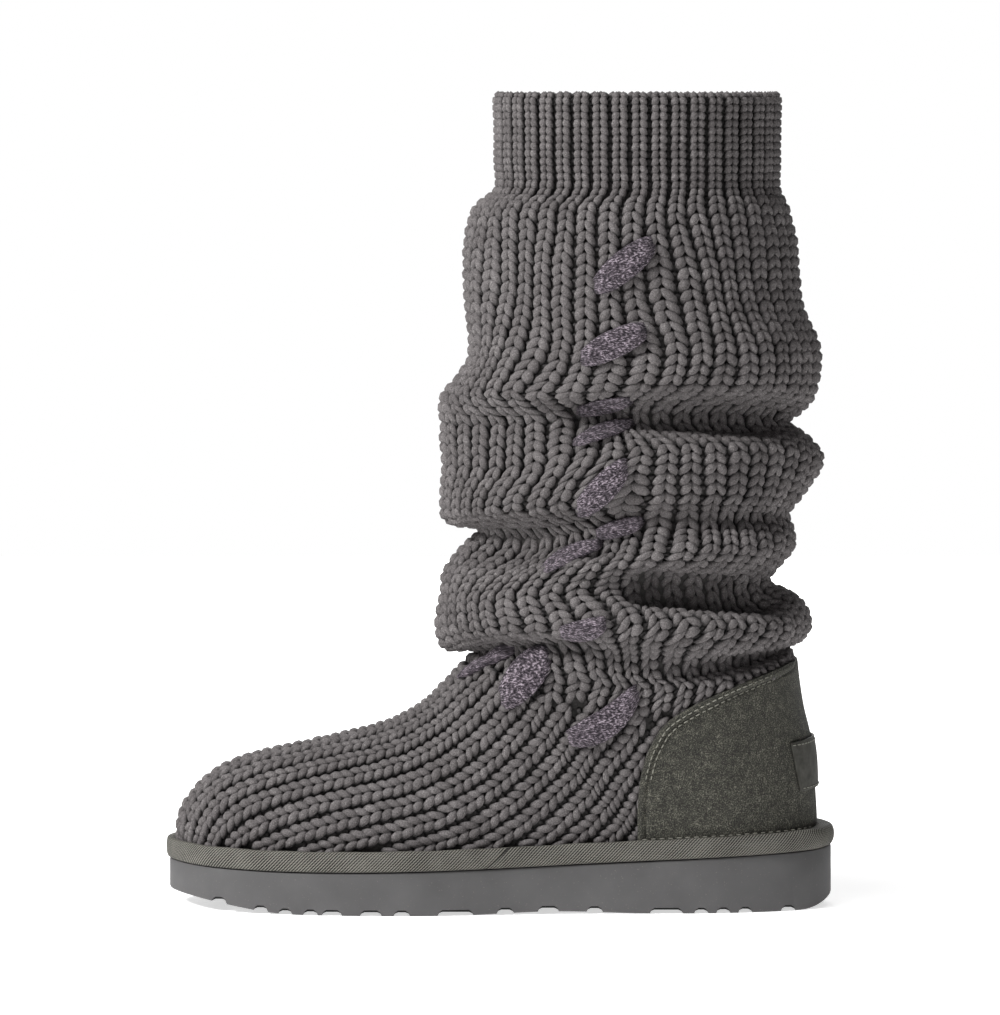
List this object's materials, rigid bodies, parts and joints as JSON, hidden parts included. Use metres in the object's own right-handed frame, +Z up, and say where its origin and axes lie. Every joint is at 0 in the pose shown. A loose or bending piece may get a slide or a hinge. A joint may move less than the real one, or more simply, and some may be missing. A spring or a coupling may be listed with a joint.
{
  "type": "mukluk boot",
  "caption": "Slouched knit mukluk boot with a ribbed cuff, folded shaft, woven-in ribbon, suede heel counter and a lugged foam sole.",
  "frame": {"origin": "on the floor, at the middle of the boot's length and of its width", "axes": "-X towards the toe, -Y towards the outer side of this left boot, +Z up"},
  "size_m": [0.2687, 0.1225, 0.325],
  "materials": {
    "grey_rib_knit": "chunky rib knit",
    "grey_eva": "matt moulded foam",
    "olive_twill_tape": "woven twill",
    "fleece_footbed": "fleece",
    "olive_suede": "brushed suede",
    "soft_patch": "soft matt",
    "chenille_ribbon": "chenille"
  },
  "bodies": {
    "root": {"knit_upper": "grey_rib_knit", "outsole": "grey_eva", "binding": "olive_twill_tape", "insole": "fleece_footbed", "heel_counter": "olive_suede", "heel_patch": "soft_patch", "ribbon_lateral_01": "chenille_ribbon", "ribbon_lateral_02": "chenille_ribbon", "ribbon_lateral_03": "chenille_ribbon", "ribbon_lateral_04": "chenille_ribbon", "ribbon_lateral_05": "chenille_ribbon", "ribbon_lateral_06": "chenille_ribbon", "ribbon_lateral_07": "chenille_ribbon", "ribbon_lateral_08": "chenille_ribbon", "ribbon_lateral_09": "chenille_ribbon", "ribbon_lateral_10": "chenille_ribbon", "ribbon_lateral_11": "chenille_ribbon", "ribbon_medial_01": "chenille_ribbon", "ribbon_medial_02": "chenille_ribbon", "ribbon_medial_03": "chenille_ribbon", "ribbon_medial_04": "chenille_ribbon", "ribbon_medial_05": "chenille_ribbon", "ribbon_medial_06": "chenille_ribbon", "ribbon_medial_07": "chenille_ribbon", "ribbon_medial_08": "chenille_ribbon", "ribbon_medial_09": "chenille_ribbon", "ribbon_medial_10": "chenille_ribbon", "ribbon_medial_11": "chenille_ribbon"}
  },
  "joints": []
}
